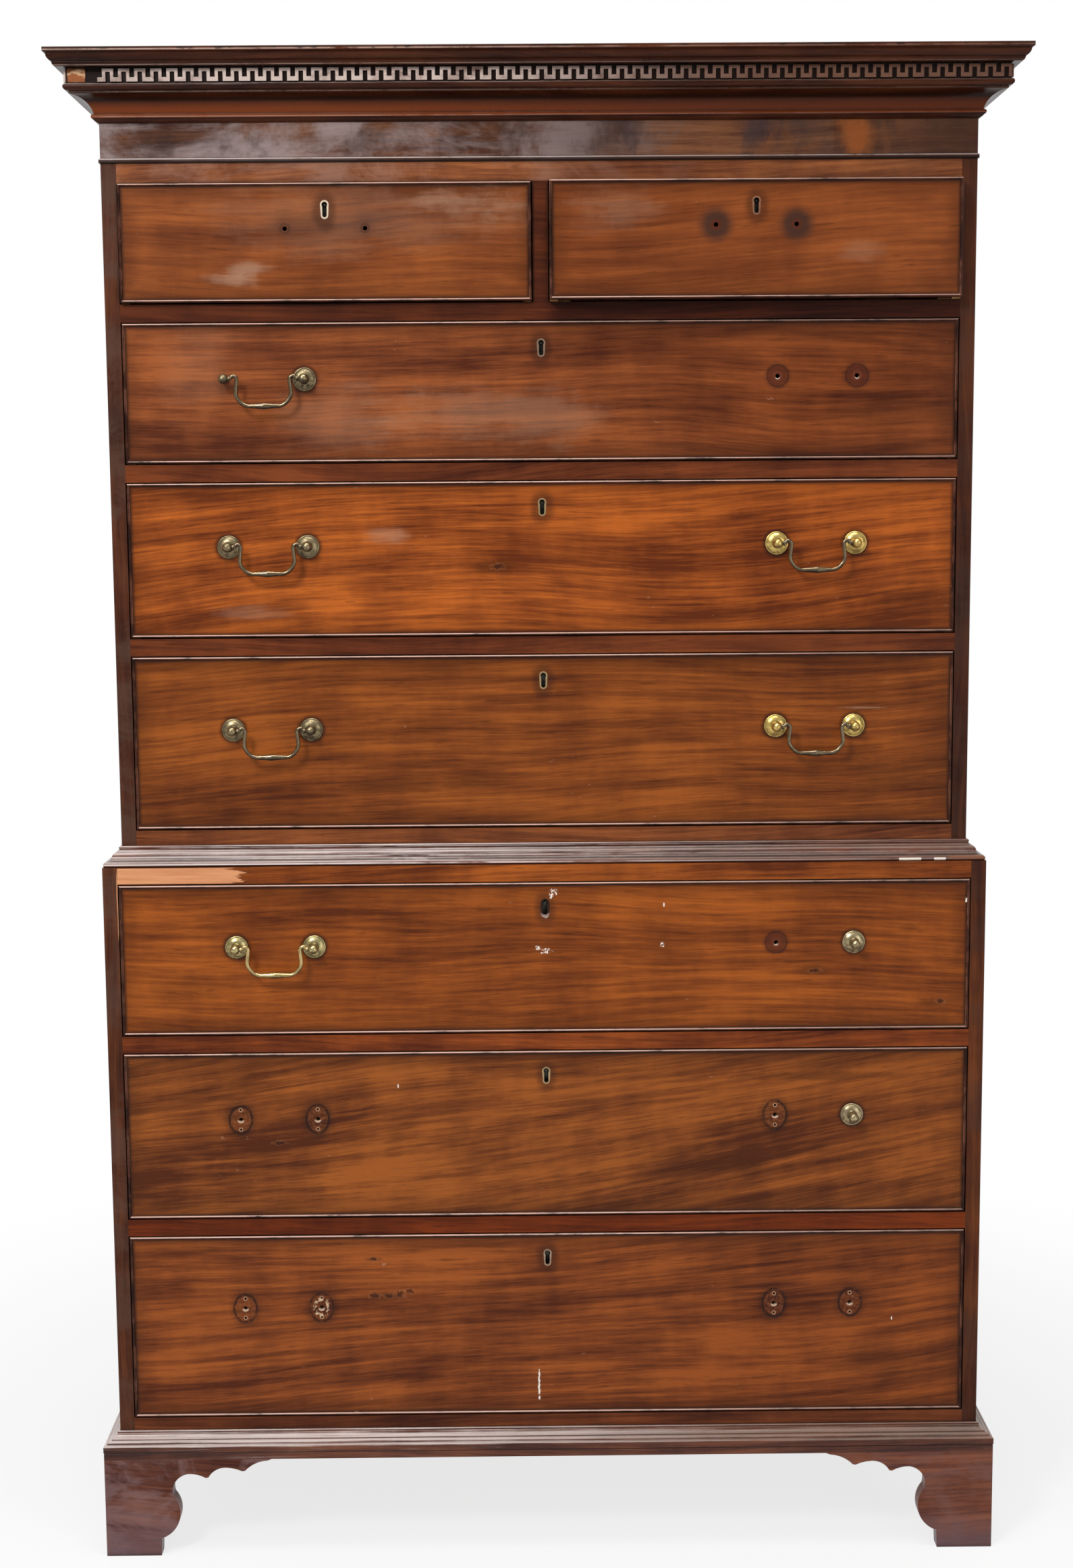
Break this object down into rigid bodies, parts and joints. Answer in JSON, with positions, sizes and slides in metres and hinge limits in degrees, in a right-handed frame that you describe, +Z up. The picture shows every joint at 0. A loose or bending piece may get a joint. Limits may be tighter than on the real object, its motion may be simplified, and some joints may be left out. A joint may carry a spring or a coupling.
{
  "type": "chest on chest",
  "caption": "Mahogany chest on chest with cockbeaded drawers, key-fret cornice, waist and base mouldings, swan-neck bail handles and scrolled bracket feet.",
  "frame": {"origin": "on the floor, in the middle of the chest's whole outline", "axes": "+Z up, the drawers open towards -Y, +X to the right of someone facing the chest"},
  "size_m": [1.166, 0.593, 1.872],
  "materials": {
    "mahogany_front": "old wax polish, figured mahogany",
    "mahogany_carcase": "old wax polish, worn",
    "mahogany_moulding": "old polish, dusty on top",
    "mahogany_fret": "old polish, dusty",
    "oak_lining": "bare, darkened",
    "pine_board": "bare, darkened",
    "brass": "old, tarnished",
    "lock_iron": "dull, dark"
  },
  "bodies": {
    "case": {"cornice_moulding": "mahogany_moulding", "greek_key_fret": "mahogany_fret", "frieze_frame": "mahogany_moulding", "cornice_top_board": "pine_board", "waist_moulding": "mahogany_moulding", "base_moulding": "mahogany_moulding", "front_feet": "mahogany_carcase", "rear_feet": "mahogany_carcase", "upper_left_side": "mahogany_carcase", "upper_right_side": "mahogany_carcase", "upper_top_board": "mahogany_carcase", "upper_bottom_board": "mahogany_carcase", "upper_back_boards": "pine_board", "upper_drawer_rails": "mahogany_carcase", "upper_dustboards": "pine_board", "lower_left_side": "mahogany_carcase", "lower_right_side": "mahogany_carcase", "lower_top_board": "mahogany_carcase", "lower_bottom_board": "mahogany_carcase", "lower_back_boards": "pine_board", "lower_drawer_rails": "mahogany_carcase", "lower_dustboards": "pine_board"},
    "short_left_drawer": {"short_left_drawer_front": "mahogany_front", "short_left_drawer_box": "oak_lining", "short_left_drawer_hardware": "brass"},
    "short_left_drawer_lock_bolt": {"short_left_drawer_lock_bolt": "lock_iron"},
    "short_right_drawer": {"short_right_drawer_front": "mahogany_front", "short_right_drawer_box": "oak_lining", "short_right_drawer_hardware": "brass"},
    "short_right_drawer_lock_bolt": {"short_right_drawer_lock_bolt": "lock_iron"},
    "upper_top_drawer": {"upper_top_drawer_front": "mahogany_front", "upper_top_drawer_box": "oak_lining", "upper_top_drawer_hardware": "brass"},
    "upper_top_drawer_lock_bolt": {"upper_top_drawer_lock_bolt": "lock_iron"},
    "upper_top_drawer_bail_left": {"upper_top_drawer_bail_left": "brass"},
    "upper_middle_drawer": {"upper_middle_drawer_front": "mahogany_front", "upper_middle_drawer_box": "oak_lining", "upper_middle_drawer_hardware": "brass"},
    "upper_middle_drawer_lock_bolt": {"upper_middle_drawer_lock_bolt": "lock_iron"},
    "upper_middle_drawer_bail_left": {"upper_middle_drawer_bail_left": "brass"},
    "upper_middle_drawer_bail_right": {"upper_middle_drawer_bail_right": "brass"},
    "upper_bottom_drawer": {"upper_bottom_drawer_front": "mahogany_front", "upper_bottom_drawer_box": "oak_lining", "upper_bottom_drawer_hardware": "brass"},
    "upper_bottom_drawer_lock_bolt": {"upper_bottom_drawer_lock_bolt": "lock_iron"},
    "upper_bottom_drawer_bail_left": {"upper_bottom_drawer_bail_left": "brass"},
    "upper_bottom_drawer_bail_right": {"upper_bottom_drawer_bail_right": "brass"},
    "lower_top_drawer": {"lower_top_drawer_front": "mahogany_front", "lower_top_drawer_box": "oak_lining", "lower_top_drawer_hardware": "brass"},
    "lower_top_drawer_lock_bolt": {"lower_top_drawer_lock_bolt": "lock_iron"},
    "lower_top_drawer_bail_left": {"lower_top_drawer_bail_left": "brass"},
    "lower_middle_drawer": {"lower_middle_drawer_front": "mahogany_front", "lower_middle_drawer_box": "oak_lining", "lower_middle_drawer_hardware": "brass"},
    "lower_middle_drawer_lock_bolt": {"lower_middle_drawer_lock_bolt": "lock_iron"},
    "lower_bottom_drawer": {"lower_bottom_drawer_front": "mahogany_front", "lower_bottom_drawer_box": "oak_lining", "lower_bottom_drawer_hardware": "brass"},
    "lower_bottom_drawer_lock_bolt": {"lower_bottom_drawer_lock_bolt": "lock_iron"}
  },
  "joints": [
    {"name": "short_left_drawer_slide", "type": "slide", "parent": "case", "child": "short_left_drawer", "axis": [0, -1, 0], "range_m": [-0.005, 0.375]},
    {"name": "short_left_drawer_lock_bolt_slide", "type": "slide", "parent": "short_left_drawer", "child": "short_left_drawer_lock_bolt", "axis": [0, 0, 1], "range_m": [0, 0.008]},
    {"name": "short_right_drawer_slide", "type": "slide", "parent": "case", "child": "short_right_drawer", "axis": [0, -1, 0], "range_m": [-0.018, 0.362]},
    {"name": "short_right_drawer_lock_bolt_slide", "type": "slide", "parent": "short_right_drawer", "child": "short_right_drawer_lock_bolt", "axis": [0, 0, 1], "range_m": [0, 0.008]},
    {"name": "upper_top_drawer_slide", "type": "slide", "parent": "case", "child": "upper_top_drawer", "axis": [0, -1, 0], "range_m": [0, 0.38]},
    {"name": "upper_top_drawer_lock_bolt_slide", "type": "slide", "parent": "upper_top_drawer", "child": "upper_top_drawer_lock_bolt", "axis": [0, 0, 1], "range_m": [0, 0.008]},
    {"name": "upper_top_drawer_bail_left_hinge", "type": "hinge", "parent": "upper_top_drawer", "child": "upper_top_drawer_bail_left", "pos_m": [-0.337, -0.259, 1.4895], "axis": [-1, 0, 0], "range_deg": [-18, 198]},
    {"name": "upper_middle_drawer_slide", "type": "slide", "parent": "case", "child": "upper_middle_drawer", "axis": [0, -1, 0], "range_m": [0, 0.38]},
    {"name": "upper_middle_drawer_lock_bolt_slide", "type": "slide", "parent": "upper_middle_drawer", "child": "upper_middle_drawer_lock_bolt", "axis": [0, 0, 1], "range_m": [0, 0.008]},
    {"name": "upper_middle_drawer_bail_left_hinge", "type": "hinge", "parent": "upper_middle_drawer", "child": "upper_middle_drawer_bail_left", "pos_m": [-0.337, -0.259, 1.28675], "axis": [-1, 0, 0], "range_deg": [-18, 198]},
    {"name": "upper_middle_drawer_bail_right_hinge", "type": "hinge", "parent": "upper_middle_drawer", "child": "upper_middle_drawer_bail_right", "pos_m": [0.337, -0.259, 1.28675], "axis": [-1, 0, 0], "range_deg": [-18, 198]},
    {"name": "upper_bottom_drawer_slide", "type": "slide", "parent": "case", "child": "upper_bottom_drawer", "axis": [0, -1, 0], "range_m": [0, 0.38]},
    {"name": "upper_bottom_drawer_lock_bolt_slide", "type": "slide", "parent": "upper_bottom_drawer", "child": "upper_bottom_drawer_lock_bolt", "axis": [0, 0, 1], "range_m": [0, 0.008]},
    {"name": "upper_bottom_drawer_bail_left_hinge", "type": "hinge", "parent": "upper_bottom_drawer", "child": "upper_bottom_drawer_bail_left", "pos_m": [-0.337, -0.259, 1.06075], "axis": [-1, 0, 0], "range_deg": [-18, 198]},
    {"name": "upper_bottom_drawer_bail_right_hinge", "type": "hinge", "parent": "upper_bottom_drawer", "child": "upper_bottom_drawer_bail_right", "pos_m": [0.337, -0.259, 1.06075], "axis": [-1, 0, 0], "range_deg": [-18, 198]},
    {"name": "lower_top_drawer_slide", "type": "slide", "parent": "case", "child": "lower_top_drawer", "axis": [0, -1, 0], "range_m": [0, 0.4]},
    {"name": "lower_top_drawer_lock_bolt_slide", "type": "slide", "parent": "lower_top_drawer", "child": "lower_top_drawer_lock_bolt", "axis": [0, 0, 1], "range_m": [0, 0.008]},
    {"name": "lower_top_drawer_bail_left_hinge", "type": "hinge", "parent": "lower_top_drawer", "child": "lower_top_drawer_bail_left", "pos_m": [-0.337, -0.2805, 0.7905], "axis": [-1, 0, 0], "range_deg": [-18, 198]},
    {"name": "lower_middle_drawer_slide", "type": "slide", "parent": "case", "child": "lower_middle_drawer", "axis": [0, -1, 0], "range_m": [0, 0.4]},
    {"name": "lower_middle_drawer_lock_bolt_slide", "type": "slide", "parent": "lower_middle_drawer", "child": "lower_middle_drawer_lock_bolt", "axis": [0, 0, 1], "range_m": [0, 0.008]},
    {"name": "lower_bottom_drawer_slide", "type": "slide", "parent": "case", "child": "lower_bottom_drawer", "axis": [0, -1, 0], "range_m": [0, 0.4]},
    {"name": "lower_bottom_drawer_lock_bolt_slide", "type": "slide", "parent": "lower_bottom_drawer", "child": "lower_bottom_drawer_lock_bolt", "axis": [0, 0, 1], "range_m": [0, 0.008]}
  ]
}
